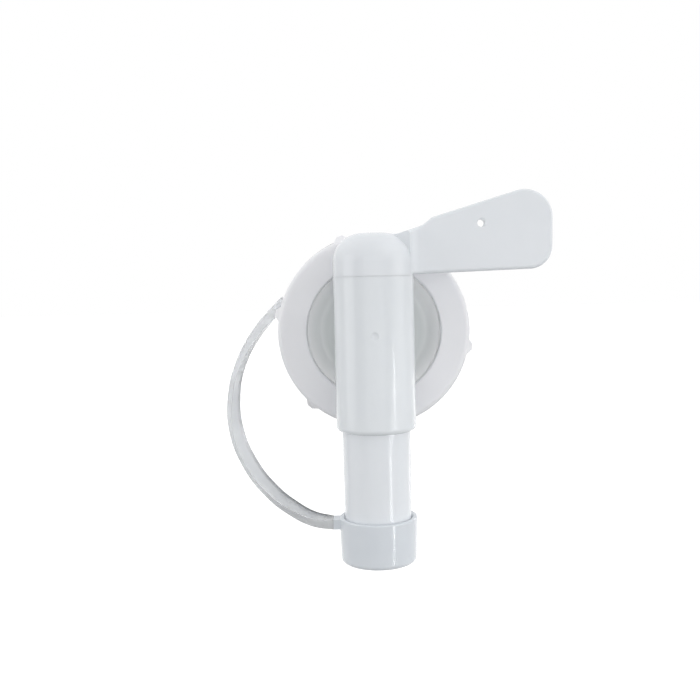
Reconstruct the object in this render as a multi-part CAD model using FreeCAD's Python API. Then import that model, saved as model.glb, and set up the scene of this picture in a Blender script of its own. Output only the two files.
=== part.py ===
import FreeCAD, Part
import math
import os

from FreeCAD import Vector

# A screw-on plastic tap for a container: collar nut, tap body, turning lever and spout,
# washer, and a dust cap on a strap. Millimetres. The origin is the centre of the sealing
# plane on the neck's axis. +Y points into the container, -Y to the front, +Z up, and the
# closed lever points along +X.

# Running and seating clearances
SHAFT_GAP = 0.06        # plug in the barrel, spout in the dust cap
FACE_GAP = 0.1          # head above the barrel's rim
SEAT_GAP = 0.3          # loose seats of soft or trapped pieces
OVERCUT = 1.0           # how far a cutting form stands past the face it cuts
JOIN = 0.5              # how far two joined forms run into each other

# Edges that the moulds leave
EDGE_ROUND = 0.4

# Collar nut
THREAD_ROOT_R = 29.3    # wall that carries the thread of a 58 mm neck
THREAD_LENGTH = 11.4
THREAD_START_Y = 0.2    # the thread's wall begins just behind the washer
THREAD_STEP = 0.4       # the washer's seat is this much narrower than the thread's root
NUT_FRONT_WALL = 2.4
NUT_SKIRT_WALL = 2.3
NUT_GRIP_DRAFT = 0.4    # the grip is this much wider at its rear end
NUT_LIP = 7.3           # the front wall reaches this far in over the flange
NUT_EDGE_ROUND = 1.8
NUT_HOLE_ROUND = 0.6
NUT_MOUTH_CHAMFER = 0.6
LUG_COUNT = 6
LUG_PHASE_DEG = 49.0
LUG_HEIGHT = 1.7
LUG_ROOT_DEPTH = 0.4    # the lug's foot lies this deep in the grip
LUG_BASE_WIDTH = 5.6
LUG_TIP_WIDTH = 2.0
LUG_FRONT_SETBACK = 1.3
LUG_FRONT_SLOPE = 3.5
LUG_BACK_SETBACK = 0.8      # the strap passes behind the lugs

# Ring of the strap, round the rear of the skirt
RING_WIDTH = 5.2
RING_WALL = 1.2
RING_PLAY = 0.25
RING_SEAT_DEPTH = 0.7       # the ring's seat is this much below the grip
RING_BEAD_HEIGHT = 0.45     # bead that keeps the ring on the skirt
RING_BEAD_WIDTH = 1.1

# Washer and flange
GASKET_THICKNESS = 2.0
GASKET_WIDTH = 4.8
FLANGE_THICKNESS = 2.5
DISH_INSET = 0.4        # the dished centre's rim stands this far inside the nut's hole
DISH_DEPTH = 2.6
DISH_LEAN = 3.0         # its wall slopes in by this much down to its floor
DISH_WALL = 1.7
DISH_ROUND = 3.0
BOSS_CHAMFER = 0.6

# Barrel and inlet tube
BARREL_REACH = 24.0         # sealing plane to the barrel's axis
BARREL_WALL = 1.85
BARREL_DRAFT = 0.1          # the foot is this much narrower than the top
BARREL_TOP_Z = 17.9
BARREL_FOOT_Z = -29.5
BARREL_FOOT_ROUND = 1.5
PLUG_BORE_R = 10.55
INLET_WALL = 2.2
INLET_BORE_R = 6.0
INLET_ROOT_ROUND = 1.6
GATE_MARK_R = 1.3
GATE_MARK_DEPTH = 0.35

# Snap ring that holds the plug in the barrel, and the quarter-turn stop
SNAP_BEAD_HEIGHT = 0.28
SNAP_BEAD_WIDTH = 1.2
SNAP_GROOVE_EXTRA = 0.15
SNAP_ABOVE_FOOT = 4.0
TURN_DEG = 90.0
STOP_TAB_DEG = 24.0
STOP_PLAY_DEG = 1.0
STOP_DEPTH = 2.2

# Turning plug, spout and head
SPOUT_LENGTH_BELOW_BARREL = 37.95
SPOUT_WALL = 1.85
SPOUT_END_TAPER = 0.24      # the capped end is this much slimmer than the plug
SPOUT_LIP_ROUND = 0.45
SPOUT_LIP_FLARE = 0.5
SPOUT_COLLAR = 1.0          # straight stretch above the cap and below the barrel
HEAD_HEIGHT = 13.25
HEAD_TOP_ROUND = 8.7
HEAD_TOP_WALL = 3.4
BORE_TOP_CHAMFER = 2.0
PORT_INSET = 0.2            # the plug's side port is this much narrower than the inlet

# Lever plate, seen from the front
LEVER_THICKNESS = 4.0
LEVER_ROOT_FLARE_R = 5.0
LEVER_EDGE_ROUND = 1.1
LEVER_REACH = 56.1          # barrel's axis to the paddle's tip
LEVER_FOOT_RISE = 1.35      # the lower edge climbs this much along the lever
ARM_START_X = 3.0
ARM_START_DROP = 0.5        # the arm leaves the head this much below its top
ARM_RISE_X = 7.6            # where its upper edge begins to climb
ARM_RISE_ROUND = 4.0
ARM_STEP_X = 15.6           # where the arm steps up into the paddle
ARM_STEP_ABOVE_HEAD = 2.2
ARM_STEP_WIDTH = 2.9
ARM_STEP_HEIGHT = 2.3
ARM_STEP_ROUND = 1.2
PADDLE_SLOPE_DEG = 16.5
PADDLE_TOP_ROUND = 8.6
PADDLE_FOOT_ROUND = 7.2
PADDLE_TIP_LEAN = 0.9
HANG_HOLE_R = 1.15
HANG_HOLE_ROUND = 0.55
HANG_HOLE_X = 33.5
HANG_HOLE_BELOW_TOP = 6.6

# Dust cap
CAP_LENGTH = 13.7
CAP_WALL = 1.65
CAP_FLOOR = 2.1
CAP_DRAFT = 0.45
CAP_FOOT_ROUND = 1.5
CAP_RIM_ROUND = 0.35
CAP_LEAD_IN = 0.5
CAP_TAB_REACH = 1.9
CAP_TAB_DROP = 0.35         # the tab lies this much below the cap's rim

# Strap between the ring and the dust cap
STRAP_WIDTH = 5.0
STRAP_THICKNESS = 1.7
STRAP_ROOT_THICKNESS = 3.5  # at the ring
STRAP_ROOT_SHARE = 0.38     # share of its length over which it thins from the ring
STRAP_END_THICKNESS = 3.0   # at the cap's tab
STRAP_END_SHARE = 0.3       # share of its length over which it thickens to the tab
STRAP_TWIST_DEG = 40.0      # how far its inner face turns to the front at most
STRAP_TWIST_LATE = 1.7      # a power above one moves the most twist towards the cap
STRAP_STATIONS = 25
STRAP_ROOT_DEG = 161.1      # where it leaves the ring, seen from the front
# Its middle line between the ring and the cap: how far left of the root, and share of the drop
STRAP_ROUTE = [
    (2.3, 0.033),
    (9.7, 0.156),
    (15.1, 0.310),
    (16.8, 0.461),
    (15.5, 0.608),
    (10.7, 0.749),
    (3.3, 0.868),
    (-3.8, 0.940),
    (-10.2, 0.984),
]

# Derived places
GASKET_SEAT_R = THREAD_ROOT_R - THREAD_STEP
NUT_HOLE_R = THREAD_ROOT_R - NUT_LIP
DISH_R = NUT_HOLE_R - DISH_INSET
FLANGE_BACK_Y = -GASKET_THICKNESS
FLANGE_FRONT_Y = FLANGE_BACK_Y - FLANGE_THICKNESS
NUT_INNER_FACE_Y = FLANGE_FRONT_Y - SEAT_GAP
NUT_FRONT_Y = NUT_INNER_FACE_Y - NUT_FRONT_WALL
NUT_BACK_Y = THREAD_START_Y + THREAD_LENGTH + NUT_MOUTH_CHAMFER
NUT_GRIP_R = THREAD_ROOT_R + NUT_SKIRT_WALL
RING_SEAT_BACK_Y = NUT_BACK_Y - RING_BEAD_WIDTH
RING_SEAT_FRONT_Y = RING_SEAT_BACK_Y - RING_WIDTH - 2 * RING_PLAY
RING_SEAT_R = NUT_GRIP_R - RING_SEAT_DEPTH
RING_INNER_R = RING_SEAT_R + RING_PLAY
RING_OUTER_R = RING_INNER_R + RING_WALL
RING_MIDDLE_Y = (RING_SEAT_BACK_Y + RING_SEAT_FRONT_Y) / 2
FLANGE_R = GASKET_SEAT_R - SEAT_GAP
GASKET_OUTER_R = FLANGE_R
BARREL_TOP_R = PLUG_BORE_R + BARREL_WALL
BARREL_FOOT_R = BARREL_TOP_R - BARREL_DRAFT
PLUG_R = PLUG_BORE_R - SHAFT_GAP
SPOUT_END_R = PLUG_R - SPOUT_END_TAPER
SPOUT_BORE_R = SPOUT_END_R - SPOUT_WALL
PORT_R = INLET_BORE_R - PORT_INSET
SPOUT_END_Z = BARREL_FOOT_Z - SPOUT_LENGTH_BELOW_BARREL
HEAD_FOOT_Z = BARREL_TOP_Z + FACE_GAP
HEAD_TOP_Z = HEAD_FOOT_Z + HEAD_HEIGHT
SNAP_Z = BARREL_FOOT_Z + SNAP_ABOVE_FOOT
CAP_BORE_R = SPOUT_END_R + SHAFT_GAP
CAP_RIM_R = CAP_BORE_R + CAP_WALL
CAP_FOOT_Z = SPOUT_END_Z - SEAT_GAP - CAP_FLOOR
CAP_RIM_Z = CAP_FOOT_Z + CAP_LENGTH
CAP_TAB_END_X = -(CAP_RIM_R + CAP_TAB_REACH)
CAP_TAB_TOP_Z = CAP_RIM_Z - CAP_TAB_DROP
BARREL_AXIS = Vector(0, -BARREL_REACH, 0)
LONG = 200.0


def about_neck(u, v):
    """Profile point for a shape turned about the neck's axis: radius and Y."""
    return Vector(u, v, 0)


def about_barrel(u, v):
    """Profile point for a shape turned about the barrel's axis: radius and Z."""
    return Vector(u, -BARREL_REACH, v)


def front_view(u, v):
    """Point of an outline drawn in the front view, on the barrel's middle plane."""
    return Vector(u, -BARREL_REACH, v)


def corner_arc(before, corner, after, radius):
    """Tangent arc that rounds a corner, with its two end points."""
    to_before = (before - corner).normalize()
    to_after = (after - corner).normalize()
    half = to_before.getAngle(to_after) / 2
    middle = (to_before + to_after).normalize()
    start = corner + to_before * (radius / math.tan(half))
    end = corner + to_after * (radius / math.tan(half))
    top = corner + middle * (radius / math.sin(half) - radius)
    return start, end, Part.Arc(start, top, end).toShape()


def rounded_face(points, place):
    """Flat face with straight sides; a point's third number rounds its corner."""
    corners = [place(p[0], p[1]) for p in points]
    radii = [p[2] if len(p) > 2 else 0 for p in points]
    count = len(corners)
    edges = []
    ends = []
    for i in range(count):
        if radii[i]:
            start, end, arc = corner_arc(corners[i - 1], corners[i], corners[(i + 1) % count], radii[i])
            ends.append((start, end, arc))
        else:
            ends.append((corners[i], corners[i], None))
    for i in range(count):
        start, end, arc = ends[i]
        if arc:
            edges.append(arc)
        following = ends[(i + 1) % count][0]
        if end.distanceToPoint(following) > 1e-6:
            edges.append(Part.makeLine(end, following))
    return Part.Face(Part.Wire(edges))


def turned_about_neck(points):
    return rounded_face(points, about_neck).revolve(Vector(), Vector(0, 1, 0), 360)


def turned_about_barrel(points):
    return rounded_face(points, about_barrel).revolve(BARREL_AXIS, Vector(0, 0, 1), 360)


def barrel_cylinder(radius, foot_z, top_z):
    return Part.makeCylinder(radius, top_z - foot_z, BARREL_AXIS + Vector(0, 0, foot_z))


def barrel_sector(inner_r, outer_r, foot_z, top_z, from_deg, to_deg):
    """Part of a ring about the barrel's axis, between two plan angles."""
    flat = Part.makeCylinder(
        outer_r, top_z - foot_z, BARREL_AXIS + Vector(0, 0, foot_z), Vector(0, 0, 1), to_deg - from_deg
    )
    flat.rotate(BARREL_AXIS, Vector(0, 0, 1), from_deg)
    return flat.cut(barrel_cylinder(inner_r, foot_z - OVERCUT, top_z + OVERCUT))


def grip_lug(angle_deg):
    """One trapezoid lug along the grip, with a sloped front end."""
    root_r = NUT_GRIP_R - LUG_ROOT_DEPTH
    tip_r = NUT_GRIP_R + LUG_HEIGHT
    front_y = NUT_FRONT_Y + LUG_FRONT_SETBACK
    back_y = RING_SEAT_FRONT_Y - LUG_BACK_SETBACK
    slope_end_y = front_y + LUG_FRONT_SLOPE
    section = [
        (root_r, -LUG_BASE_WIDTH / 2),
        (tip_r, -LUG_TIP_WIDTH / 2, EDGE_ROUND),
        (tip_r, LUG_TIP_WIDTH / 2, EDGE_ROUND),
        (root_r, LUG_BASE_WIDTH / 2),
    ]
    face = rounded_face(section, lambda u, v: Vector(u, front_y, v))
    lug = face.extrude(Vector(0, back_y - front_y, 0))
    slope = [
        (root_r, front_y),
        (tip_r, slope_end_y),
        (tip_r + OVERCUT, slope_end_y),
        (tip_r + OVERCUT, front_y - OVERCUT),
        (root_r, front_y - OVERCUT),
    ]
    front_cut = rounded_face(slope, lambda u, v: Vector(u, v, -LUG_BASE_WIDTH))
    lug = lug.cut(front_cut.extrude(Vector(0, 0, 2 * LUG_BASE_WIDTH)))
    lug.rotate(Vector(), Vector(0, 1, 0), -angle_deg)
    return lug


def make_collar_nut():
    """Turned shell with a front hole, gasket seat, thread wall and ring seat, plus grip lugs."""
    grip_back_r = NUT_GRIP_R + NUT_GRIP_DRAFT
    bead_r = RING_INNER_R + RING_BEAD_HEIGHT
    profile = [
        (NUT_HOLE_R, NUT_FRONT_Y, NUT_HOLE_ROUND),
        (NUT_GRIP_R, NUT_FRONT_Y, NUT_EDGE_ROUND),
        (grip_back_r, RING_SEAT_FRONT_Y - EDGE_ROUND),
        (grip_back_r - EDGE_ROUND, RING_SEAT_FRONT_Y),
        (RING_SEAT_R, RING_SEAT_FRONT_Y),
        (RING_SEAT_R, RING_SEAT_BACK_Y),
        (bead_r, RING_SEAT_BACK_Y),
        (bead_r - EDGE_ROUND, NUT_BACK_Y),
        (THREAD_ROOT_R + NUT_MOUTH_CHAMFER, NUT_BACK_Y),
        (THREAD_ROOT_R, NUT_BACK_Y - NUT_MOUTH_CHAMFER),
        (THREAD_ROOT_R, THREAD_START_Y),
        (GASKET_SEAT_R, THREAD_START_Y),
        (GASKET_SEAT_R, NUT_INNER_FACE_Y),
        (NUT_HOLE_R, NUT_INNER_FACE_Y),
    ]
    nut = turned_about_neck(profile)
    lugs = [grip_lug(LUG_PHASE_DEG + 360.0 / LUG_COUNT * i) for i in range(LUG_COUNT)]
    return nut.multiFuse(lugs).removeSplitter()


def make_neck_gasket():
    """Flat washer against the flange's rear face."""
    inner_r = GASKET_OUTER_R - GASKET_WIDTH
    profile = [
        (inner_r, FLANGE_BACK_Y),
        (GASKET_OUTER_R, FLANGE_BACK_Y),
        (GASKET_OUTER_R, 0),
        (inner_r, 0),
    ]
    return turned_about_neck(profile)


def dished_flange():
    """Flange, its dished centre and the solid inlet stem, turned about the neck's axis."""
    stem_r = INLET_BORE_R + INLET_WALL
    floor_y = FLANGE_FRONT_Y + DISH_DEPTH
    dish_back_y = floor_y + DISH_WALL
    boss_r = GASKET_OUTER_R - GASKET_WIDTH - SEAT_GAP
    profile = [
        (0, dish_back_y),
        (0, -BARREL_REACH),
        (stem_r, -BARREL_REACH),
        (stem_r, floor_y, INLET_ROOT_ROUND),
        (DISH_R - DISH_LEAN, floor_y, DISH_ROUND),
        (DISH_R, FLANGE_FRONT_Y),
        (FLANGE_R, FLANGE_FRONT_Y),
        (FLANGE_R, FLANGE_BACK_Y),
        (boss_r, FLANGE_BACK_Y),
        (boss_r, dish_back_y - BOSS_CHAMFER),
        (boss_r - BOSS_CHAMFER, dish_back_y),
    ]
    return turned_about_neck(profile)


def make_tap_body():
    """Flange, inlet tube and upright barrel, with the plug bore, snap groove and stop notch."""
    outer = [
        (0, BARREL_FOOT_Z),
        (BARREL_FOOT_R, BARREL_FOOT_Z, BARREL_FOOT_ROUND),
        (BARREL_TOP_R, BARREL_TOP_Z),
        (0, BARREL_TOP_Z),
    ]
    body = dished_flange().fuse(turned_about_barrel(outer))
    body = body.cut(barrel_cylinder(PLUG_BORE_R, BARREL_FOOT_Z - OVERCUT, BARREL_TOP_Z + OVERCUT))
    inlet = Part.makeCylinder(INLET_BORE_R, BARREL_REACH + LONG, Vector(0, -BARREL_REACH, 0), Vector(0, 1, 0))
    body = body.cut(inlet)
    half_groove = SNAP_BEAD_WIDTH / 2 + SEAT_GAP
    groove_r = PLUG_R + SNAP_BEAD_HEIGHT + SNAP_GROOVE_EXTRA
    body = body.cut(barrel_cylinder(groove_r, SNAP_Z - half_groove, SNAP_Z + half_groove))
    notch_half = (TURN_DEG + STOP_TAB_DEG) / 2 + STOP_PLAY_DEG
    notch = barrel_sector(
        PLUG_BORE_R - OVERCUT, BARREL_TOP_R + OVERCUT,
        BARREL_TOP_Z - STOP_DEPTH - SEAT_GAP, BARREL_TOP_Z + OVERCUT,
        90 - notch_half, 90 + notch_half,
    )
    body = body.cut(notch)
    ball_r = (GATE_MARK_R ** 2 + GATE_MARK_DEPTH ** 2) / (2 * GATE_MARK_DEPTH)
    front_y = -BARREL_REACH - (BARREL_TOP_R + BARREL_FOOT_R) / 2
    gate_mark = Part.makeSphere(ball_r, Vector(0, front_y + GATE_MARK_DEPTH - ball_r, 0))
    return body.cut(gate_mark).removeSplitter()


def lever_plate():
    """Lever plate: the front outline meets a plan outline that flares into the head."""
    paddle_slope = math.tan(math.radians(PADDLE_SLOPE_DEG))
    arm_start_z = HEAD_TOP_Z - ARM_START_DROP
    step_z = HEAD_TOP_Z + ARM_STEP_ABOVE_HEAD
    paddle_x = ARM_STEP_X + ARM_STEP_WIDTH
    paddle_z = step_z + ARM_STEP_HEIGHT
    tip_z = paddle_z + (LEVER_REACH - paddle_x) * paddle_slope
    outline = [
        (ARM_START_X, HEAD_FOOT_Z),
        (LEVER_REACH - PADDLE_TIP_LEAN, HEAD_FOOT_Z + LEVER_FOOT_RISE, PADDLE_FOOT_ROUND),
        (LEVER_REACH, tip_z, PADDLE_TOP_ROUND),
        (paddle_x, paddle_z, ARM_STEP_ROUND),
        (ARM_STEP_X, step_z, ARM_STEP_ROUND),
        (ARM_RISE_X, arm_start_z, ARM_RISE_ROUND),
        (ARM_START_X, arm_start_z),
    ]
    side = rounded_face(outline, front_view).extrude(Vector(0, 2 * BARREL_TOP_R, 0))
    side.translate(Vector(0, -BARREL_TOP_R, 0))

    half = LEVER_THICKNESS / 2
    centre_r = BARREL_TOP_R + LEVER_ROOT_FLARE_R
    flare_y = half + LEVER_ROOT_FLARE_R
    flare_x = math.sqrt(centre_r ** 2 - flare_y ** 2)
    touch = Vector(flare_x, flare_y, 0) * (BARREL_TOP_R / centre_r)
    flare_centre = Vector(flare_x, flare_y, 0)
    toward = (touch - flare_centre).normalize() + Vector(0, -1, 0)
    bottom = flare_centre + toward.normalize() * LEVER_ROOT_FLARE_R
    flare_end = Vector(flare_x, half, 0)
    tip = Vector(LEVER_REACH + OVERCUT, half, 0)
    right = [Vector(ARM_START_X, half, 0), touch, bottom, flare_end, tip]
    left = [Vector(p.x, -p.y, 0) for p in right]
    wire = Part.Wire([
        Part.makeLine(right[0], right[1]),
        Part.Arc(right[1], right[2], right[3]).toShape(),
        Part.makeLine(right[3], right[4]),
        Part.makeLine(right[4], left[4]),
        Part.makeLine(left[4], left[3]),
        Part.Arc(left[3], left[2], left[1]).toShape(),
        Part.makeLine(left[1], left[0]),
        Part.makeLine(left[0], right[0]),
    ])
    plan = Part.Face(wire).extrude(Vector(0, 0, LONG))
    plan.translate(BARREL_AXIS)
    plate = side.common(plan)
    hole_z = paddle_z + (HANG_HOLE_X - paddle_x) * paddle_slope - HANG_HOLE_BELOW_TOP
    hole_start = Vector(HANG_HOLE_X, -BARREL_REACH - LEVER_THICKNESS, hole_z)
    hole = Part.makeCylinder(HANG_HOLE_R, 2 * LEVER_THICKNESS, hole_start, Vector(0, 1, 0))
    plate = round_long_edges(plate, flare_x).cut(hole)
    rims = [edge for edge in plate.Edges if is_hole_rim(edge)]
    return plate.makeFillet(HANG_HOLE_ROUND, rims)


def is_hole_rim(edge):
    """True for the two circles where the hanging hole meets the plate's faces."""
    circle = edge.Curve
    return circle.TypeId == "Part::GeomCircle" and abs(circle.Radius - HANG_HOLE_R) < 0.001


def round_long_edges(plate, from_x):
    """Round the plate's front and rear edges beyond the flare."""
    edges = []
    for edge in plate.Edges:
        middle = edge.valueAt((edge.FirstParameter + edge.LastParameter) / 2)
        on_face = abs(abs(middle.y + BARREL_REACH) - LEVER_THICKNESS / 2) < 0.01
        straight_across = abs(edge.tangentAt(edge.FirstParameter).y) > 0.9
        if on_face and middle.x > from_x and not straight_across:
            edges.append(edge)
    return plate.makeFillet(LEVER_EDGE_ROUND, edges)


def make_lever_spout():
    """Head, lever, hollow plug with its side port, and spout: one moulding."""
    bead_z = SNAP_Z + SNAP_BEAD_WIDTH / 2
    bead_foot_z = SNAP_Z - SNAP_BEAD_WIDTH / 2
    outer = [
        (0, SPOUT_END_Z),
        (SPOUT_END_R, SPOUT_END_Z, SPOUT_LIP_ROUND),
        (SPOUT_END_R, CAP_RIM_Z + SPOUT_COLLAR),
        (PLUG_R, BARREL_FOOT_Z - SPOUT_COLLAR),
        (PLUG_R, bead_foot_z),
        (PLUG_R + SNAP_BEAD_HEIGHT, SNAP_Z),
        (PLUG_R, bead_z),
        (PLUG_R, HEAD_FOOT_Z),
        (BARREL_TOP_R, HEAD_FOOT_Z),
        (BARREL_TOP_R, HEAD_TOP_Z, HEAD_TOP_ROUND),
        (0, HEAD_TOP_Z),
    ]
    bore_top_z = HEAD_TOP_Z - HEAD_TOP_WALL
    bore = [
        (0, SPOUT_END_Z - OVERCUT),
        (SPOUT_BORE_R + SPOUT_LIP_FLARE, SPOUT_END_Z - OVERCUT),
        (SPOUT_BORE_R + SPOUT_LIP_FLARE, SPOUT_END_Z),
        (SPOUT_BORE_R, SPOUT_END_Z + SPOUT_LIP_FLARE),
        (SPOUT_BORE_R, bore_top_z - BORE_TOP_CHAMFER),
        (SPOUT_BORE_R - BORE_TOP_CHAMFER, bore_top_z),
        (0, bore_top_z),
    ]
    tab_start = 90 + TURN_DEG / 2 - STOP_TAB_DEG / 2
    tab = barrel_sector(
        PLUG_R - JOIN, BARREL_TOP_R - FACE_GAP, BARREL_TOP_Z - STOP_DEPTH, HEAD_FOOT_Z + JOIN,
        tab_start, tab_start + STOP_TAB_DEG,
    )
    turning = turned_about_barrel(outer).multiFuse([tab, lever_plate()])
    turning = turning.cut(turned_about_barrel(bore))
    port = Part.makeCylinder(PORT_R, 2 * PLUG_R, BARREL_AXIS, Vector(-1, 0, 0))
    return turning.cut(port).removeSplitter()


def make_dust_cap():
    """Push-on cup with a tab for the strap at its rim."""
    floor_z = CAP_FOOT_Z + CAP_FLOOR
    outer = [
        (0, CAP_FOOT_Z),
        (CAP_RIM_R - CAP_DRAFT, CAP_FOOT_Z, CAP_FOOT_ROUND),
        (CAP_RIM_R, CAP_RIM_Z, CAP_RIM_ROUND),
        (0, CAP_RIM_Z),
    ]
    inside = [
        (0, floor_z),
        (CAP_BORE_R, floor_z),
        (CAP_BORE_R, CAP_RIM_Z - CAP_LEAD_IN),
        (CAP_BORE_R + CAP_LEAD_IN, CAP_RIM_Z),
        (CAP_BORE_R + CAP_LEAD_IN, CAP_RIM_Z + OVERCUT),
        (0, CAP_RIM_Z + OVERCUT),
    ]
    tab_start = Vector(CAP_TAB_END_X, -BARREL_REACH - STRAP_WIDTH / 2, CAP_TAB_TOP_Z - STRAP_END_THICKNESS)
    tab = Part.makeBox(CAP_TAB_REACH + CAP_WALL, STRAP_WIDTH, STRAP_END_THICKNESS, tab_start)
    cap = turned_about_barrel(outer).fuse(tab)
    return cap.cut(turned_about_barrel(inside)).removeSplitter()


def ease(share):
    """0 to 1 with a soft start and a soft end."""
    return share * share * (3 - 2 * share)


def strap_thickness(share):
    """Thickness along the strap, which grows towards the ring and towards the cap's tab."""
    near_root = max(0.0, 1 - share / STRAP_ROOT_SHARE)
    near_end = max(0.0, (share - 1 + STRAP_END_SHARE) / STRAP_END_SHARE)
    root_extra = (STRAP_ROOT_THICKNESS - STRAP_THICKNESS) * ease(near_root)
    end_extra = (STRAP_END_THICKNESS - STRAP_THICKNESS) * near_end ** 2
    return STRAP_THICKNESS + root_extra + end_extra


def strap_section(centre, tangent, twist_deg, thickness):
    """Rectangle across the strap; with no twist its width lies in the plane of the neck's axis."""
    inward = tangent.cross(Vector(0, 1, 0)).normalize()
    across = inward.cross(tangent).normalize()
    turn = FreeCAD.Rotation(tangent, twist_deg)
    half_width = turn.multVec(across) * (STRAP_WIDTH / 2)
    half_thick = turn.multVec(inward) * (thickness / 2)
    corners = [
        centre + half_width + half_thick,
        centre - half_width + half_thick,
        centre - half_width - half_thick,
        centre + half_width - half_thick,
    ]
    return Part.makePolygon(corners + corners[:1])


def strap_line():
    """Smooth middle line of the strap, with its length along the flat route as parameter."""
    root_r = (RING_INNER_R + RING_OUTER_R) / 2
    root_x = root_r * math.cos(math.radians(STRAP_ROOT_DEG))
    root_z = root_r * math.sin(math.radians(STRAP_ROOT_DEG))
    end_z = CAP_TAB_TOP_Z - STRAP_END_THICKNESS / 2
    flat_route = [(root_x, root_z)]
    for out, share in STRAP_ROUTE:
        flat_route.append((root_x - out, root_z + (end_z - root_z) * share))
    flat_route.append((CAP_TAB_END_X, end_z))
    lengths = [0.0]
    for a, b in zip(flat_route, flat_route[1:]):
        lengths.append(lengths[-1] + math.hypot(b[0] - a[0], b[1] - a[1]))
    points = []
    for (x, z), length in zip(flat_route, lengths):
        forward = ease(length / lengths[-1])
        points.append(Vector(x, RING_MIDDLE_Y - forward * (BARREL_REACH + RING_MIDDLE_Y), z))
    line = Part.BSplineCurve()
    line.interpolate(Points=points, Parameters=lengths)
    return line


def strap_ribbon():
    """Strap from the ring's wall to the cap's tab, twisting on its way."""
    line = strap_line()
    sections = []
    for i in range(STRAP_STATIONS):
        share = i / (STRAP_STATIONS - 1)
        at = line.FirstParameter + (line.LastParameter - line.FirstParameter) * share
        twist = STRAP_TWIST_DEG * math.sin(math.pi * share ** STRAP_TWIST_LATE)
        sections.append(strap_section(line.value(at), line.tangent(at)[0], twist, strap_thickness(share)))
    sections[-1] = strap_section(line.value(line.LastParameter), Vector(1, 0, 0), 0, STRAP_END_THICKNESS)
    return Part.makeLoft(sections, True, True)


def make_cap_strap():
    """Ring round the nut's skirt and the strap that grows out of it."""
    ring_front_y = RING_MIDDLE_Y - RING_WIDTH / 2
    profile = [
        (RING_INNER_R, ring_front_y),
        (RING_OUTER_R, ring_front_y, EDGE_ROUND),
        (RING_OUTER_R, ring_front_y + RING_WIDTH),
        (RING_INNER_R, ring_front_y + RING_WIDTH),
    ]
    strap = turned_about_neck(profile).fuse(strap_ribbon())
    inside = Part.makeCylinder(RING_INNER_R, LONG, Vector(0, -LONG / 2, 0), Vector(0, 1, 0))
    return strap.cut(inside).removeSplitter()


def write(name, shape):
    """Write one piece and print what it is."""
    solids = shape.Solids
    shape = solids[0] if len(solids) == 1 else Part.makeCompound(solids)
    shape.exportStep("parts/" + name + ".step")
    box = shape.BoundBox
    print(
        "%-12s solids %d valid %s volume %.0f  x %.2f %.2f  y %.2f %.2f  z %.2f %.2f"
        % (name, len(solids), shape.isValid(), shape.Volume,
           box.XMin, box.XMax, box.YMin, box.YMax, box.ZMin, box.ZMax)
    )


os.makedirs("parts", exist_ok=True)
write("collar_nut", make_collar_nut())
write("neck_gasket", make_neck_gasket())
write("tap_body", make_tap_body())
write("lever_spout", make_lever_spout())
write("dust_cap", make_dust_cap())
write("cap_strap", make_cap_strap())
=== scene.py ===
# %% [markdown]
# A screw-on tap for a drinks container, moulded in natural polyethylene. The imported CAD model
# is loaded first and stays as it is. This script gives it materials, adds details that the CAD
# leaves out, and sets up the studio in which it is seen. Everything is in metres.

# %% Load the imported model
import bpy
import math
from mathutils import Matrix, Vector


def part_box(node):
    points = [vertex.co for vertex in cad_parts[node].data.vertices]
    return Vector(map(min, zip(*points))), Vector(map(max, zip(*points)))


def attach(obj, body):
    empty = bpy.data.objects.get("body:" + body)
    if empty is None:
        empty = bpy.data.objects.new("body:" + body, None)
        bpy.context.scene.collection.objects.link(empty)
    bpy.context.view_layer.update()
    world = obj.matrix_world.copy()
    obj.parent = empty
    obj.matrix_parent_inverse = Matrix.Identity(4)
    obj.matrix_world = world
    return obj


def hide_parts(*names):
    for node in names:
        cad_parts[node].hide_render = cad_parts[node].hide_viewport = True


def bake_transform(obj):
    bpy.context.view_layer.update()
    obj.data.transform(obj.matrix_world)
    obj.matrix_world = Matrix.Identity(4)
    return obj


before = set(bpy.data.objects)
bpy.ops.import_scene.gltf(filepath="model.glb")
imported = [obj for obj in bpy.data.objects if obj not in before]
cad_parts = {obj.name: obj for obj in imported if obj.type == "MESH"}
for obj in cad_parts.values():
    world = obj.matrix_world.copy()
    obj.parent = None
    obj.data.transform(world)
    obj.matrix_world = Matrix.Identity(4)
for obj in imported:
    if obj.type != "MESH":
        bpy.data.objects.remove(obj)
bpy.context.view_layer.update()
print("nodes:", sorted(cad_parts))

# %% [markdown]
# Some places below are read from the CAD's own nodes. MM turns millimetres into Blender's
# metres, so that each size reads as it does on a drawing.

# %% Sizes that the pieces share
MM = 0.001
cap_low, cap_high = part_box("dust_cap")
spout_low, spout_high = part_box("lever_spout")
BARREL_AXIS_Y = (spout_low.y + spout_high.y) / 2
CAP_RIM_Z = cap_high.z
CAP_TAB_END_X = cap_low.x
print("barrel's axis at y %.1f mm" % (BARREL_AXIS_Y / MM))
print("cap's rim at z %.1f mm" % (CAP_RIM_Z / MM))

# %% [markdown]
# A product picture of this kind is taken from the front with the camera a little above the
# nut's middle. The lens is as long as the picture's perspective asks for, the view is shifted
# instead of tilted so that uprights stay parallel, and a small roll matches the way the tap
# hangs in the picture.

# %% Camera
CAMERA_DISTANCE = 302.5 * MM
CAMERA_HEIGHT = 18.05 * MM
CAMERA_SIDE = -3.0 * MM
ROLL_DEG = 1.24
FOCAL_PX = 900.0
FRAME_PX = 700.0
FOOT_PX = (363.55, 276.0)   # where the camera's axis meets the picture
SENSOR_MM = 36.0

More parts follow.
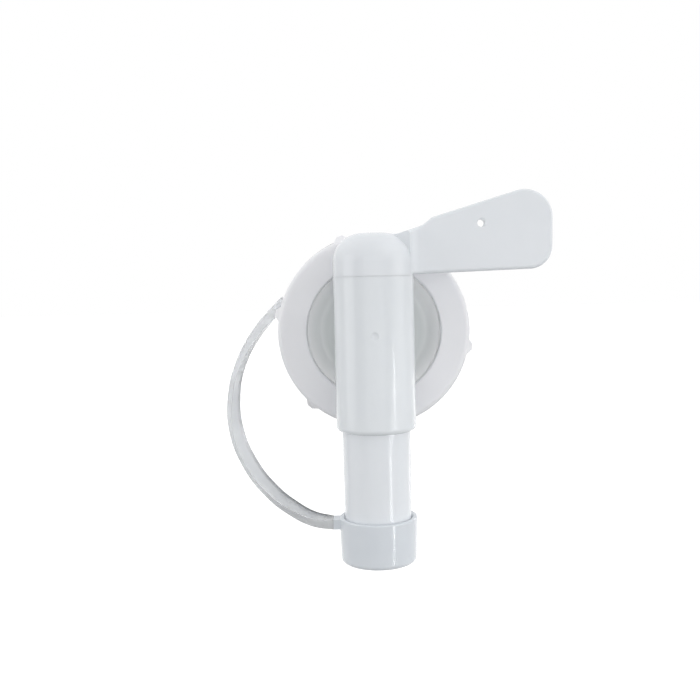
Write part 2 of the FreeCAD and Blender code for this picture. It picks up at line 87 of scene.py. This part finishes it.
bpy.ops.object.select_all(action="DESELECT")
bpy.ops.object.camera_add(
    location=(CAMERA_SIDE, -CAMERA_DISTANCE, CAMERA_HEIGHT),
    rotation=(math.radians(90), math.radians(ROLL_DEG), 0),
)
camera = bpy.context.object
camera.name = "front_camera"
camera.data.sensor_width = SENSOR_MM
camera.data.lens = SENSOR_MM * FOCAL_PX / FRAME_PX
camera.data.shift_x = (FRAME_PX / 2 - FOOT_PX[0]) / FRAME_PX
camera.data.shift_y = (FOOT_PX[1] - FRAME_PX / 2) / FRAME_PX
camera.data.clip_start = 0.01
bpy.context.scene.camera = camera
print("lens %.1f mm, shift %.3f %.3f" % (camera.data.lens, camera.data.shift_x, camera.data.shift_y))

# %% [markdown]
# Colours are chosen as sRGB hex values, as a colour picker shows them, and Blender's nodes
# want them linear. One function does that. Others begin a material and add a node with its
# settings and links, which keeps each material down to a few readable lines.

# %% Colour and node helpers
def linear(hex_colour):
    """sRGB hex to the linear colour that a node takes."""
    channels = [int(hex_colour[i:i + 2], 16) / 255 for i in (1, 3, 5)]
    curved = [c / 12.92 if c <= 0.04045 else ((c + 0.055) / 1.055) ** 2.4 for c in channels]
    return (*curved, 1.0)


def add_node(tree, kind, settings=(), links=(), **values):
    """New node of a kind. Settings are its properties, values its sockets, links (socket, output)."""
    node = tree.nodes.new(kind)
    for name, value in dict(settings).items():
        setattr(node, name, value)
    for name, value in values.items():
        node.inputs[name.replace("_", " ")].default_value = value
    for name, output in links:
        tree.links.new(output, node.inputs[name])
    return node


def new_material(name):
    """A material without nodes, and its node tree."""
    material = bpy.data.materials.new(name)
    material.use_nodes = True
    material.node_tree.nodes.clear()
    return material, material.node_tree


print("sRGB #808080 is linear %.3f" % linear("#808080")[0])

# %% [markdown]
# The tap is natural polyethylene: milky, waxy to the touch, with a soft gloss. Light goes a
# little way into the wall and comes out again, so edges glow and shadows stay gentle. The
# mould is polished but not perfect, and the plastic shrinks unevenly, which leaves a faint
# waviness a few millimetres long that breaks up the reflections.

# %% Polyethylene
PE_IOR = 1.51
WAVE_LENGTH = 6.0 * MM      # shrinkage waves
WAVE_HEIGHT = 0.12 * MM
GRAIN_LENGTH = 0.35 * MM    # fine texture, drawn coarser than it is so that it shows
GRAIN_HEIGHT = 0.01 * MM
GRAIN_STRENGTH = 0.05
GLOSS_BELOW = 0.04          # the roughness varies by this much to each side
GLOSS_ABOVE = 0.06
REFLECTION = 0.4
GLOW_DEPTH = 1.2 * MM       # how deep light goes in
GLOW_TINT = (1.0, 1.0, 0.95)


def polyethylene(name, colour, shade, roughness, glow, wave, clear=0.0):
    """Milky polyethylene: two close colours, soft gloss, light that goes about a millimetre deep.
    A thin piece is clear as well, which lets some light straight through."""
    material, tree = new_material(name)
    place = add_node(tree, "ShaderNodeTexCoord")
    waves = add_node(
        tree, "ShaderNodeTexNoise", links=[("Vector", place.outputs["Object"])],
        Scale=1 / WAVE_LENGTH, Detail=2.0, Roughness=0.45,
    )
    grain = add_node(
        tree, "ShaderNodeTexNoise", links=[("Vector", place.outputs["Object"])],
        Scale=1 / GRAIN_LENGTH, Detail=3.0, Roughness=0.6,
    )
    tone = add_node(
        tree, "ShaderNodeMix", settings={"data_type": "RGBA"}, links=[("Factor", waves.outputs["Fac"])],
    )
    tone.inputs[6].default_value = linear(colour)
    tone.inputs[7].default_value = linear(shade)
    gloss = add_node(tree, "ShaderNodeMapRange", links=[("Value", grain.outputs["Fac"])])
    gloss.inputs["To Min"].default_value = roughness - GLOSS_BELOW
    gloss.inputs["To Max"].default_value = roughness + GLOSS_ABOVE
    wavy = add_node(
        tree, "ShaderNodeBump", links=[("Height", waves.outputs["Fac"])],
        Strength=wave, Distance=WAVE_HEIGHT,
    )
    fine = add_node(
        tree, "ShaderNodeBump", links=[("Height", grain.outputs["Fac"]), ("Normal", wavy.outputs["Normal"])],
        Strength=GRAIN_STRENGTH, Distance=GRAIN_HEIGHT,
    )
    plastic = add_node(
        tree, "ShaderNodeBsdfPrincipled",
        links=[
            ("Base Color", tone.outputs[2]),
            ("Roughness", gloss.outputs["Result"]),
            ("Normal", fine.outputs["Normal"]),
        ],
        IOR=PE_IOR,
    )
    plastic.inputs["Specular IOR Level"].default_value = REFLECTION
    plastic.inputs["Subsurface Weight"].default_value = glow
    plastic.inputs["Subsurface Radius"].default_value = GLOW_TINT
    plastic.inputs["Subsurface Scale"].default_value = GLOW_DEPTH
    plastic.inputs["Transmission Weight"].default_value = clear
    add_node(tree, "ShaderNodeOutputMaterial", links=[("Surface", plastic.outputs["BSDF"])])
    print("material", name, colour, "roughness", roughness)
    return material


nut_plastic = polyethylene("satin natural polyethylene, nut", "#ebebee", "#e7e8eb", 0.42, 0.25, 0.5)
body_plastic = polyethylene("natural polyethylene, tap body", "#e0e4e7", "#dce0e4", 0.18, 0.25, 0.35)
lever_plastic = polyethylene("natural polyethylene, lever", "#e2e5e9", "#dee2e6", 0.2, 0.25, 0.35)
cap_plastic = polyethylene("soft polyethylene, dust cap", "#d5dadf", "#d1d6dc", 0.18, 0.25, 0.35)
strap_plastic = polyethylene("soft polyethylene, strap", "#eff1f3", "#eaecef", 0.17, 0.6, 0.3, clear=0.45)

# %% [markdown]
# Behind the barrel the tap's flange is dished. Its colour is painted darker on the dish's floor,
# as painted shade in the recess, and paler towards its rim, as painted light. The distance from
# the neck's axis, read from Object coordinates, blends the two.

# %% Painted shade and light in the dish
DISH_FLOOR_R = 15.8 * MM
DISH_RIM_R = 21.6 * MM
DISH_FRONT_Y = -10.0 * MM   # the barrel lies in front of this and keeps its colour
DISH_BACK_Y = -6.0 * MM


def recolour(material, share):
    """Socket of a second colour, which a material's base colour becomes where share is 1."""
    tree = material.node_tree
    base = tree.nodes["Principled BSDF"].inputs["Base Color"]
    blend = add_node(
        tree, "ShaderNodeMix", settings={"data_type": "RGBA"},
        links=[("Factor", share), (6, base.links[0].from_socket)],
    )
    tree.links.new(blend.outputs[2], base)
    return blend.inputs[7]


def paint_dish_shade_and_light(material, floor_shade_colour, rim_light_colour):
    """Painted shade on the dish's floor and painted light at its rim, with a soft change between them."""
    tree = material.node_tree
    place = add_node(tree, "ShaderNodeTexCoord")
    parts = add_node(tree, "ShaderNodeSeparateXYZ", links=[("Vector", place.outputs["Object"])])
    flat = add_node(
        tree, "ShaderNodeCombineXYZ", links=[("X", parts.outputs["X"]), ("Z", parts.outputs["Z"])],
    )
    radius = add_node(
        tree, "ShaderNodeVectorMath", settings={"operation": "LENGTH"}, links=[(0, flat.outputs[0])],
    )
    near_rim = add_node(tree, "ShaderNodeMapRange", links=[("Value", radius.outputs["Value"])])
    near_rim.inputs["From Min"].default_value = DISH_FLOOR_R
    near_rim.inputs["From Max"].default_value = DISH_RIM_R
    dish = add_node(
        tree, "ShaderNodeMix", settings={"data_type": "RGBA"},
        links=[("Factor", near_rim.outputs["Result"])],
    )
    dish.inputs[6].default_value = linear(floor_shade_colour)
    dish.inputs[7].default_value = linear(rim_light_colour)
    behind = add_node(tree, "ShaderNodeMapRange", links=[("Value", parts.outputs["Y"])])
    behind.inputs["From Min"].default_value = DISH_FRONT_Y
    behind.inputs["From Max"].default_value = DISH_BACK_Y
    tree.links.new(dish.outputs[2], recolour(material, behind.outputs["Result"]))


# Painted shade on the dish's floor (#d1d5d5) and painted light at its rim (#fafafa).
paint_dish_shade_and_light(body_plastic, "#d1d5d5", "#fafafa")
print("the dish gets paler from", round(DISH_FLOOR_R / MM, 1), "to", round(DISH_RIM_R / MM, 1), "mm")

# %% [markdown]
# The washer is a pale soft elastomer. It is cut or moulded flat, and the neck's rim presses
# on it, so it is matt and dusty next to the plastic.

# %% Washer
DUST_LENGTH = 0.8 * MM
DUST_HEIGHT = 0.03 * MM


def soft_elastomer(name, colour):
    """Matt elastomer with a dusty skin."""
    material, tree = new_material(name)
    place = add_node(tree, "ShaderNodeTexCoord")
    dust = add_node(
        tree, "ShaderNodeTexNoise", links=[("Vector", place.outputs["Object"])],
        Scale=1 / DUST_LENGTH, Detail=4.0,
    )
    skin = add_node(
        tree, "ShaderNodeBump", links=[("Height", dust.outputs["Fac"])],
        Strength=0.4, Distance=DUST_HEIGHT,
    )
    rubber = add_node(
        tree, "ShaderNodeBsdfPrincipled", links=[("Normal", skin.outputs["Normal"])],
        Roughness=0.75, IOR=1.45,
    )
    rubber.inputs["Base Color"].default_value = linear(colour)
    add_node(tree, "ShaderNodeOutputMaterial", links=[("Surface", rubber.outputs["BSDF"])])
    print("material", name, colour)
    return material


gasket_rubber = soft_elastomer("pale silicone washer", "#d9d8d2")

# %% [markdown]
# Each CAD node gets the finish of its material slot. Its mesh stays as it is.

# %% Materials on the CAD nodes
finishes = {
    "collar_nut": nut_plastic,
    "tap_body": body_plastic,
    "lever_spout": lever_plastic,
    "dust_cap": cap_plastic,
    "neck_gasket": gasket_rubber,
    "cap_strap": strap_plastic,
}
for node, material in finishes.items():
    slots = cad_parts[node].material_slots
    for slot in slots:
        slot.material = material
    print(node, "has", len(slots), "material slot")

# %% [markdown]
# The strap's inner face has a rim along each edge. Near the cap the far rim lies in shade and
# mirrors the dark below the tap; this is painted into its colour as a darker line, painted shade
# and painted reflection. The strap's mesh will say where, in an attribute that its material reads.

# %% Painted shade along the strap's far rim
def paint_far_rim_shade(material, shade_colour):
    """Painted shade and painted reflection: a darker colour where the mesh's far_rim attribute says so."""
    mark = add_node(
        material.node_tree, "ShaderNodeAttribute", settings={"attribute_name": "far_rim"},
    )
    recolour(material, mark.outputs["Fac"]).default_value = linear(shade_colour)


# Painted shade and painted reflection on the strap's far rim near the cap.
paint_far_rim_shade(strap_plastic, "#5a5e63")
print("the strap's far rim gets darker towards the cap")

# %% [markdown]
# The strap is a narrow band, thicker than it looks, that is moulded flat and then bent round
# to the cap, so it twists a little on its way. Its line is a smooth curve through points that
# are given as seen from the front, and it moves forward from the ring to the spout's axis.

# %% The strap's line
RING_MIDDLE_Y = 8.25 * MM
RING_INNER_R = 31.15 * MM
RING_WALL = 1.2 * MM
RING_WIDTH = 5.2 * MM
STRAP_WIDTH = 5.0 * MM
STRAP_THICKNESS = 1.7 * MM
STRAP_ROOT_THICKNESS = 3.5 * MM     # where it leaves the ring
STRAP_ROOT_SHARE = 0.38
STRAP_END_THICKNESS = 3.0 * MM      # at the cap's tab
STRAP_END_SHARE = 0.3
STRAP_TWIST_DEG = 40.0
STRAP_TWIST_LATE = 1.7              # above one, the twist comes late
STRAP_ROOT_DEG = 161.1              # where it leaves the ring, seen from the front
STRAP_RIM_WIDTH = 1.0 * MM          # a rim runs along each edge of its inner face
STRAP_RIM_HEIGHT = 0.4 * MM
STRAP_EDGE_ROUND = 0.18 * MM
STRAP_CHANNEL_FROM = 0.3            # share of its length at which the channel begins
FAR_RIM_FROM = 0.5                  # shares at which the shade on the far rim begins and is full
FAR_RIM_FULL = 0.78
FAR_RIM_WIDTH = 0.5 * MM
CAP_TAB_DROP = 0.35 * MM
# How far left of the root, and share of the drop to the cap
STRAP_ROUTE = [
    (2.3, 0.033),
    (9.7, 0.156),
    (15.1, 0.310),
    (16.8, 0.461),
    (15.5, 0.608),
    (10.7, 0.749),
    (3.3, 0.868),
    (-3.8, 0.940),
    (-10.2, 0.984),
]
root_r = RING_INNER_R + RING_WALL / 2
root_x = root_r * math.cos(math.radians(STRAP_ROOT_DEG))
root_z = root_r * math.sin(math.radians(STRAP_ROOT_DEG))
end_z = CAP_RIM_Z - CAP_TAB_DROP - STRAP_END_THICKNESS / 2
flat_route = [(root_x, root_z)]
for out_mm, share in STRAP_ROUTE:
    flat_route.append((root_x - out_mm * MM, root_z + (end_z - root_z) * share))
flat_route.append((CAP_TAB_END_X, end_z))
print("strap's route has", len(flat_route), "points")


def named(name):
    """The object that the last operator made, under a name of its own."""
    made = bpy.context.object
    made.name = name
    made.data.name = name
    return made


def ease(share):
    """0 to 1 with a soft start and a soft end."""
    return share * share * (3 - 2 * share)


def strap_line(route):
    """Points along the strap, as a bezier curve through the route gives them."""
    lengths = [0.0]
    for (ax, az), (bx, bz) in zip(route, route[1:]):
        lengths.append(lengths[-1] + math.hypot(bx - ax, bz - az))
    bpy.ops.object.select_all(action="DESELECT")
    bpy.ops.curve.primitive_bezier_curve_add(location=(0, 0, 0))
    curve = bpy.context.object
    spline = curve.data.splines[0]
    spline.bezier_points.add(len(route) - 2)
    for point, (x, z), length in zip(spline.bezier_points, route, lengths):
        forward = ease(length / lengths[-1])
        point.co = (x, RING_MIDDLE_Y + forward * (BARREL_AXIS_Y - RING_MIDDLE_Y), z)
        point.handle_left_type = "AUTO"
        point.handle_right_type = "AUTO"
    curve.data.resolution_u = 6
    mesh = bpy.data.meshes.new_from_object(curve)
    points = [vertex.co.copy() for vertex in mesh.vertices]
    bpy.data.objects.remove(curve)
    bpy.data.meshes.remove(mesh)
    return points


line = strap_line(flat_route)
strap_length = sum((b - a).length for a, b in zip(line, line[1:]))
print("strap is %.0f mm long, in %d steps" % (strap_length / MM, len(line) - 1))

# %% [markdown]
# A loft through rectangles that turn along the line gives the strap, as by hand: flat frames
# are set along the line and bridged. Its root is cut clear of the ring's bore, and an inset
# leaves a shallow channel between two rims in its inner face.

# %% The strap
def strap_thickness(share):
    """It is thicker at the ring and at the cap's tab, where it bends least."""
    near_root = max(0.0, 1 - share / STRAP_ROOT_SHARE)
    near_end = max(0.0, (share - 1 + STRAP_END_SHARE) / STRAP_END_SHARE)
    root_extra = (STRAP_ROOT_THICKNESS - STRAP_THICKNESS) * ease(near_root)
    end_extra = (STRAP_END_THICKNESS - STRAP_THICKNESS) * near_end ** 2
    return STRAP_THICKNESS + root_extra + end_extra


def strap_frames(points, length):
    """One flat rectangle across the strap at each point, with its middle on the line."""
    frames = []
    inward_at = []
    along = 0.0
    for i, point in enumerate(points):
        before = points[max(i - 1, 0)]
        after = points[min(i + 1, len(points) - 1)]
        if i:
            along += (point - before).length
        tangent = (after - before).normalized()
        if i == len(points) - 1:
            tangent = Vector((1, 0, 0))
        inward = tangent.cross(Vector((0, 1, 0))).normalized()
        across = inward.cross(tangent).normalized()
        share = along / length
        twist = math.radians(STRAP_TWIST_DEG) * math.sin(math.pi * share ** STRAP_TWIST_LATE)
        turn = Matrix.Rotation(twist, 3, tangent)
        columns = Matrix((turn @ across, turn @ inward, tangent)).transposed()
        bpy.ops.mesh.primitive_plane_add(size=1, location=point, rotation=columns.to_euler())
        flat = bpy.context.object
        flat.scale = (STRAP_WIDTH, strap_thickness(share), 1)
        frames.append(flat)
        inward_at.append(turn @ inward)
    return frames, inward_at


def join_at_origin(objects):
    """One object from several, unturned and unscaled at the origin."""
    bpy.ops.object.select_all(action="DESELECT")
    for piece in objects:
        piece.select_set(True)
    bpy.context.view_layer.objects.active = objects[0]
    bpy.ops.object.join()
    bpy.ops.object.transform_apply(location=True, rotation=True, scale=True)


def close_open_ends():
    """In edit mode: a face on each open end, and normals that point outwards."""
    bpy.ops.mesh.select_all(action="DESELECT")
    bpy.ops.mesh.select_non_manifold()
    bpy.ops.mesh.edge_face_add()
    bpy.ops.mesh.select_all(action="SELECT")
    bpy.ops.mesh.normals_make_consistent(inside=False)


def apply_bevel(piece, width, segments, angle_deg):
    """Round edges where faces meet at more than an angle."""
    bevel = piece.modifiers.new("edges", "BEVEL")
    bevel.width = width
    bevel.segments = segments
    bevel.limit_method = "ANGLE"
    bevel.angle_limit = math.radians(angle_deg)
    bpy.ops.object.modifier_apply(modifier=bevel.name)


def cut_bore(piece, radius, y, depth):
    """Nothing of a piece reaches inside a cylinder round the neck's axis."""
    bpy.ops.object.select_all(action="DESELECT")
    bpy.ops.mesh.primitive_cylinder_add(
        vertices=180, radius=radius, depth=depth, location=(0, y, 0), rotation=(math.radians(90), 0, 0),
    )
    bore = bpy.context.object
    cut = piece.modifiers.new("bore", "BOOLEAN")
    cut.operation = "DIFFERENCE"
    cut.object = bore
    bpy.context.view_layer.objects.active = piece
    bpy.ops.object.modifier_apply(modifier=cut.name)
    bpy.data.objects.remove(bore)


def nearest_frame(points, place):
    """Number of the frame that stands closest to a place."""
    return min(range(len(points)), key=lambda i: (points[i] - place).length)


def select_inner_face(piece, points, inward_at):
    """Select the strap's wide inner face: its normals point the way its frames call inward."""
    for face in piece.data.polygons:
        nearest = nearest_frame(points, face.center)
        in_channel = STRAP_CHANNEL_FROM * len(points) < nearest < len(points) - 2
        face.select = face.normal.dot(inward_at[nearest]) > 0.8 and in_channel


def mark_far_rim(piece, points, inward_at):
    """Attribute for the painted shade: 1 along the inner face's far rim near the cap, 0 elsewhere."""
    mark = piece.data.attributes.new("far_rim", "FLOAT", "POINT")
    for vertex in piece.data.vertices:
        nearest = nearest_frame(points, vertex.co)
        offset = vertex.co - points[nearest]
        after = points[min(nearest + 1, len(points) - 1)]
        tangent = (after - points[max(nearest - 1, 0)]).normalized()
        across = abs(offset.dot(inward_at[nearest].cross(tangent)))
        far = offset.y > 0 and across > STRAP_WIDTH / 2 - FAR_RIM_WIDTH
        share = nearest / (len(points) - 1)
        near_cap = min(1.0, max(0.0, (share - FAR_RIM_FROM) / (FAR_RIM_FULL - FAR_RIM_FROM)))
        mark.data[vertex.index].value = ease(near_cap) if far else 0.0


frames, inward_at = strap_frames(line, strap_length)
join_at_origin(frames)
strap = named("strap_ribbon")
bpy.ops.object.mode_set(mode="EDIT")
bpy.ops.mesh.select_all(action="SELECT")
bpy.ops.mesh.delete(type="ONLY_FACE")
bpy.ops.mesh.select_all(action="SELECT")
bpy.ops.mesh.bridge_edge_loops()
close_open_ends()
bpy.ops.mesh.select_all(action="DESELECT")
bpy.ops.object.mode_set(mode="OBJECT")
cut_bore(strap, RING_INNER_R, RING_MIDDLE_Y, 4 * RING_WIDTH)
print("strap after the bore's cut:", len(strap.data.polygons), "faces")
select_inner_face(strap, line, inward_at)
print("inner face:", sum(face.select for face in strap.data.polygons), "faces")
bpy.ops.object.mode_set(mode="EDIT")
bpy.ops.mesh.select_mode(type="FACE")
bpy.ops.mesh.inset(thickness=STRAP_RIM_WIDTH, depth=-STRAP_RIM_HEIGHT)
bpy.ops.mesh.select_mode(type="VERT")
bpy.ops.object.mode_set(mode="OBJECT")
apply_bevel(strap, STRAP_EDGE_ROUND, segments=2, angle_deg=25)
mark_far_rim(strap, line, inward_at)
bpy.ops.object.shade_smooth_by_angle(angle=math.radians(35))
strap.data.materials.append(strap_plastic)
print("strap has", len(strap.data.polygons), "faces")

# %% [markdown]
# The strap grows out of a band that clips round the nut's skirt behind the grip. The nut turns
# in it, so the band rides on the tap; the strap itself is attached to no part here. A thin
# lip of the same form closes the seam under the lever's head, and turns with it.

# %% The strap's ring and the head's lip
LIP_R = 12.25 * MM      # within the barrel's wall
LIP_WALL = 0.26 * MM
LIP_WIDTH = 0.085 * MM
SEAM_Z = 17.95 * MM     # the 0.1 mm seam between the barrel and the head
BAND_STEPS = 144


def spun_band(name, radius, wall, width, centre, axis):
    """A flat band with eased edges: its section is spun about an axis through its centre."""
    tip = 0 if axis[1] else math.radians(90)
    bpy.ops.object.select_all(action="DESELECT")
    bpy.ops.mesh.primitive_plane_add(
        size=1, location=(centre[0] + radius, centre[1], centre[2]), rotation=(tip, 0, 0),
    )
    band = named(name)
    band.scale = (wall, width, 1)
    bpy.ops.object.transform_apply(location=True, rotation=True, scale=True)
    bpy.ops.object.mode_set(mode="EDIT")
    bpy.ops.mesh.select_all(action="SELECT")
    bpy.ops.mesh.bevel(offset=min(0.3 * MM, wall / 4, width / 4), segments=3, affect="VERTICES")
    bpy.ops.mesh.select_all(action="SELECT")
    bpy.ops.mesh.delete(type="ONLY_FACE")
    bpy.ops.mesh.select_all(action="SELECT")
    bpy.ops.mesh.spin(steps=BAND_STEPS, angle=2 * math.pi, center=centre, axis=axis)
    bpy.ops.mesh.select_all(action="SELECT")
    bpy.ops.mesh.remove_doubles(threshold=0.001 * MM)
    bpy.ops.mesh.select_all(action="SELECT")
    bpy.ops.mesh.normals_make_consistent(inside=False)
    bpy.ops.object.mode_set(mode="OBJECT")
    bpy.ops.object.shade_smooth_by_angle(angle=math.radians(35))
    return band


ring = spun_band("strap_ring", root_r, RING_WALL, RING_WIDTH, (0, RING_MIDDLE_Y, 0), (0, 1, 0))
ring.data.materials.append(strap_plastic)
lip = spun_band("head_lip", LIP_R, LIP_WALL, LIP_WIDTH, (0, BARREL_AXIS_Y, SEAM_Z), (0, 0, 1))
lip.data.materials.append(lever_plastic)
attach(lip, "lever")
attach(ring, "tap")
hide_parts("cap_strap")
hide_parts("cap_strap")
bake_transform(strap)
print("ring has", len(ring.data.polygons), "faces")

# %% [markdown]
# The thread inside the nut is a rounded ridge that winds round the wall. It stands inwards from
# the thread's root, and a Screw modifier winds its section round the neck's axis.

# %% Thread in the nut
THREAD_ROOT_R = 29.3 * MM
THREAD_DEPTH = 1.1 * MM
THREAD_PITCH = 4.0 * MM
THREAD_TURNS = 1.75
THREAD_FROM_Y = 2.2 * MM
THREAD_BASE = 1.9 * MM      # width of the ridge
THREAD_ROUND = 0.7 * MM
THREAD_STEPS = 200
bpy.ops.object.select_all(action="DESELECT")
bpy.ops.mesh.primitive_plane_add(size=1, location=(THREAD_ROOT_R, THREAD_FROM_Y, 0))
thread = named("nut_thread")
thread.scale = (2 * THREAD_DEPTH, THREAD_BASE, 1)
bpy.ops.object.transform_apply(location=True, rotation=True, scale=True)
bpy.ops.object.mode_set(mode="EDIT")
bpy.ops.mesh.select_all(action="SELECT")
bpy.ops.mesh.bevel(offset=THREAD_ROUND, segments=3, affect="VERTICES")
bpy.ops.object.mode_set(mode="OBJECT")
winding = thread.modifiers.new("winding", "SCREW")
winding.axis = "Y"
winding.angle = math.radians(360 * THREAD_TURNS)
winding.screw_offset = THREAD_PITCH * THREAD_TURNS
winding.steps = THREAD_STEPS
winding.render_steps = THREAD_STEPS
winding.use_merge_vertices = True
bpy.ops.object.modifier_apply(modifier=winding.name)
bpy.ops.object.mode_set(mode="EDIT")
close_open_ends()
bpy.ops.object.mode_set(mode="OBJECT")
bpy.ops.object.shade_smooth_by_angle(angle=math.radians(40))
thread.data.materials.append(nut_plastic)
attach(thread, "nut")
print("thread has", len(thread.data.polygons), "faces")

# %% [markdown]
# White plastic on white needs light whose parts differ, or its form goes flat. The floor is far
# below the tap and pale to the camera, and darker as a source of light.

# %% Floor
def background_rays(tree):
    """1 for rays that show the background: seen straight, in a reflection or through plastic."""
    ray = add_node(tree, "ShaderNodeLightPath")
    mirrored = add_node(
        tree, "ShaderNodeMath", settings={"operation": "MAXIMUM"},
        links=[(0, ray.outputs["Is Camera Ray"]), (1, ray.outputs["Is Glossy Ray"])],
    )
    both_ways = add_node(
        tree, "ShaderNodeMath", settings={"operation": "MAXIMUM"},
        links=[(0, mirrored.outputs[0]), (1, ray.outputs["Is Transmission Ray"])],
    )
    return both_ways.outputs[0]


FLOOR_Z = -220 * MM
FLOOR_SIZE = 12.0
FLOOR_LIFT = 0.62       # what the camera sees is lifted to white, and a shadow still shows
bpy.ops.object.select_all(action="DESELECT")
bpy.ops.mesh.primitive_plane_add(size=FLOOR_SIZE, location=(0, 0, FLOOR_Z))
floor = named("studio_floor")
floor_material, tree = new_material("studio floor, pale")
paint = add_node(tree, "ShaderNodeBsdfDiffuse", Color=linear("#c8c8c8"))
lift = add_node(tree, "ShaderNodeEmission", Color=linear("#ffffff"), Strength=FLOOR_LIFT)
both = add_node(tree, "ShaderNodeAddShader", links=[(0, paint.outputs[0]), (1, lift.outputs[0])])
matt = add_node(tree, "ShaderNodeBsdfDiffuse", Color=linear("#8c8c8c"))
seen = add_node(
    tree, "ShaderNodeMixShader",
    links=[(0, background_rays(tree)), (1, matt.outputs[0]), (2, both.outputs[0])],
)
add_node(tree, "ShaderNodeOutputMaterial", links=[("Surface", seen.outputs[0])])
floor.data.materials.append(floor_material)
print("floor at z %.0f mm" % (FLOOR_Z / MM))

# %% [markdown]
# Seen straight, mirrored or through plastic the world is plain white. As light it is brighter
# from behind the tap than from the front.

# %% World
SKY_FROM = Vector((0, 1, 0))    # the backdrop behind the tap is the brighter side
SKY_BRIGHT = 1.4
SKY_DARK = 0.5
world = bpy.data.worlds.new("studio")
bpy.context.scene.world = world
world.use_nodes = True
tree = world.node_tree
tree.nodes.clear()
place = add_node(tree, "ShaderNodeTexCoord")
toward = add_node(
    tree, "ShaderNodeVectorMath", settings={"operation": "DOT_PRODUCT"},
    links=[(0, place.outputs["Generated"])],
)
toward.inputs[1].default_value = SKY_FROM
level = add_node(tree, "ShaderNodeMapRange", links=[("Value", toward.outputs["Value"])])
level.inputs["From Min"].default_value = -1
level.inputs["To Min"].default_value = SKY_DARK
level.inputs["To Max"].default_value = SKY_BRIGHT
fill = add_node(
    tree, "ShaderNodeBackground", links=[("Strength", level.outputs["Result"])], Color=linear("#ffffff"),
)
white = add_node(tree, "ShaderNodeBackground", Color=linear("#ffffff"), Strength=1.0)
seen = add_node(
    tree, "ShaderNodeMixShader",
    links=[(0, background_rays(tree)), (1, fill.outputs[0]), (2, white.outputs[0])],
)
add_node(tree, "ShaderNodeOutputWorld", links=[("Surface", seen.outputs[0])])
bpy.context.scene.view_settings.view_transform = "Standard"
print("fill from", [round(c, 2) for c in SKY_FROM])

# %% [markdown]
# The softboxes give the broad tones. Each strip stands where the barrel or the spout mirrors it
# as an upright line.

# %% Lamps
def area_lamp(name, place, target, size_x, size_y, watts):
    """A rectangular lamp that faces a point."""
    toward = Vector(target) - Vector(place)
    bpy.ops.object.light_add(type="AREA", location=place, rotation=toward.to_track_quat("-Z", "Y").to_euler())
    lamp = bpy.context.object
    lamp.name = name
    lamp.data.shape = "RECTANGLE"
    lamp.data.size = size_x
    lamp.data.size_y = size_y
    lamp.data.energy = watts
    lamp.visible_camera = False
    return lamp


TAP_MIDDLE = (0, -0.012, -0.005)
softboxes = [
    # name, place, width, height, watts
    ("front softbox", (0, -0.85, 0.07), 0.9, 0.5, 1.7),
    ("left softbox", (-0.82, -0.22, 0.07), 0.5, 0.5, 1.55),
    ("right softbox", (0.82, -0.22, 0.07), 0.5, 0.5, 0.93),
    ("top softbox", (0.46, -0.46, 0.55), 0.5, 0.5, 0.56),
]
for name, place, width, height, watts in softboxes:
    area_lamp(name, place, TAP_MIDDLE, width, height, watts)


def strip_lamp(name, azimuth_deg, distance, width, top_z, foot_z, watts):
    """A narrow upright lamp beside the tap; azimuth 0 is in front, positive to the right."""
    turn = math.radians(azimuth_deg)
    x = distance * math.sin(turn)
    y = BARREL_AXIS_Y - distance * math.cos(turn)
    middle_z = (top_z + foot_z) / 2
    area_lamp(name, (x, y, middle_z), (0, BARREL_AXIS_Y, middle_z), width, top_z - foot_z, watts)


strips = [
    # name, azimuth, distance, width, top, foot, watts
    ("front strip, barrel", 54, 0.35, 0.014, -0.035, -0.09, 0.066),
    ("front strip, spout", 45, 0.35, 0.014, -0.094, -0.2, 0.135),
    ("rim strip", 142, 0.6, 0.03, 0.01, -0.21, 0.07),
]
for strip in strips:
    strip_lamp(*strip)
